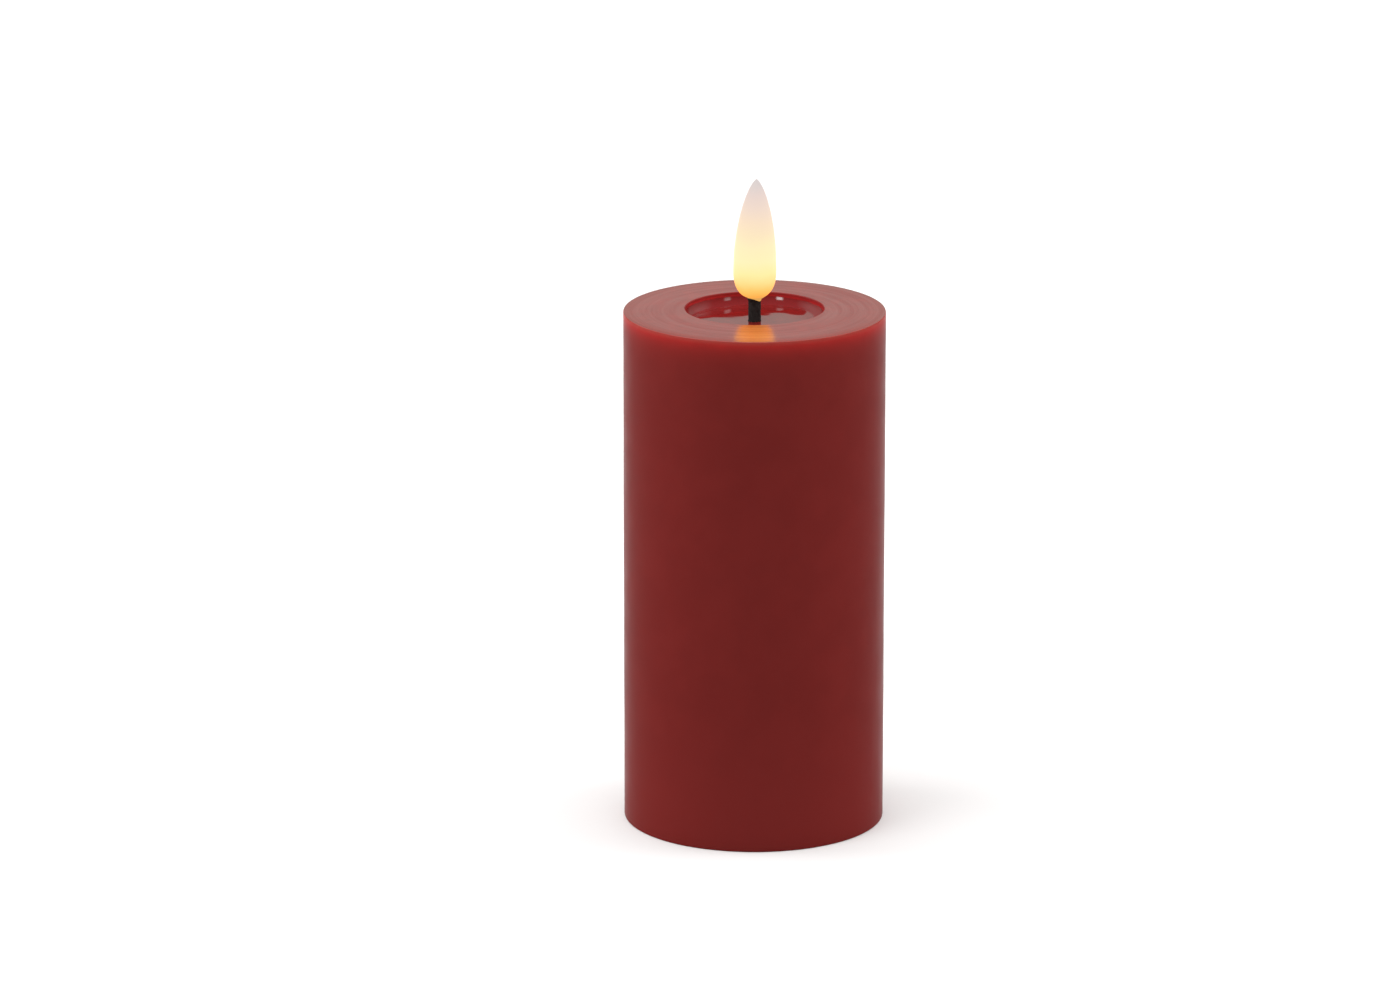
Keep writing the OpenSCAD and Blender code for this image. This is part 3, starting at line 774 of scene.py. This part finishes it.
def sky():
    """A dim, slightly warm horizon under a bright ceiling, by the sine of the elevation."""
    world = bpy.data.worlds.new("studio")
    bpy.context.scene.world = world
    world.use_nodes = True
    nodes = world.node_tree.nodes
    links = world.node_tree.links
    split = nodes.new("ShaderNodeSeparateXYZ")
    links.new(nodes.new("ShaderNodeTexCoord").outputs["Generated"], split.inputs[0])
    fade = nodes.new("ShaderNodeValToRGB")
    fill_ramp(fade.color_ramp, [(0.15, DIM), (0.25, HAZE), (0.35, HAZE), (0.85, BRIGHT)], "EASE")
    links.new(split.outputs["Z"], fade.inputs[0])
    links.new(fade.outputs["Color"], nodes["Background"].inputs["Color"])
    nodes["Background"].inputs["Strength"].default_value = 1.6


def softbox(name, place, watts, in_gloss=True):
    """A square soft light that faces the middle of the body. One that isn't in_gloss lights the
    candle without being mirrored in it."""
    light = bpy.data.lights.new(name, "AREA")
    light.shape = "SQUARE"
    light.size = 0.9
    light.energy = watts
    made = add_object(name, light)
    made.location = place
    middle = Vector((0, 0, BODY_H / 2))
    made.rotation_euler = (middle - Vector(place)).to_track_quat("-Z", "Y").to_euler()
    made.visible_glossy = in_gloss


def camera():
    """The viewpoint: how far off, how high and how far down it looks, and where it points."""
    data = bpy.data.cameras.new("camera")
    data.sensor_width = 36
    data.lens = 186.0
    data.clip_start = 0.01
    data.clip_end = 50
    made = add_object("camera", data)
    made.location = (0, -2.0, 0.6444)
    made.rotation_euler = (math.radians(90 - 15.42), 0, math.radians(0.445))
    bpy.context.scene.camera = made


bpy.context.scene.view_settings.view_transform = "Standard"
bpy.context.scene.view_settings.look = "None"

camera()
floor_and_surround()
sky()
softbox("key", (-1.1, -0.9, 1.5), 8)
# From either side, the top would mirror the box opposite as a plain white sheet
softbox("left_box", (-1.5, 0.3, 0.5), 13, in_gloss=False)
softbox("right_box", (1.5, 0.2, 0.5), 12, in_gloss=False)
finish_cad_nodes()

PIECES = [
    (wax_shell(), "candle", "wax_pillar", "wax"),
    (melt_pool(), "candle", "pool_wax", "pool_wax"),
    (charred_wick(), "candle", "wick_tube", "wick"),
    (flame_bulb(), "candle", "flame_bulb", "flame"),
    (coil("door_coil", "door_spring", True), "door", "door_spring", "spring_steel"),
    (coil("top_coil", "top_spring", False), "candle", "top_spring", "spring_steel"),
]
for piece, body, node, slot in PIECES:
    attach(piece, body)
    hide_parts(node)
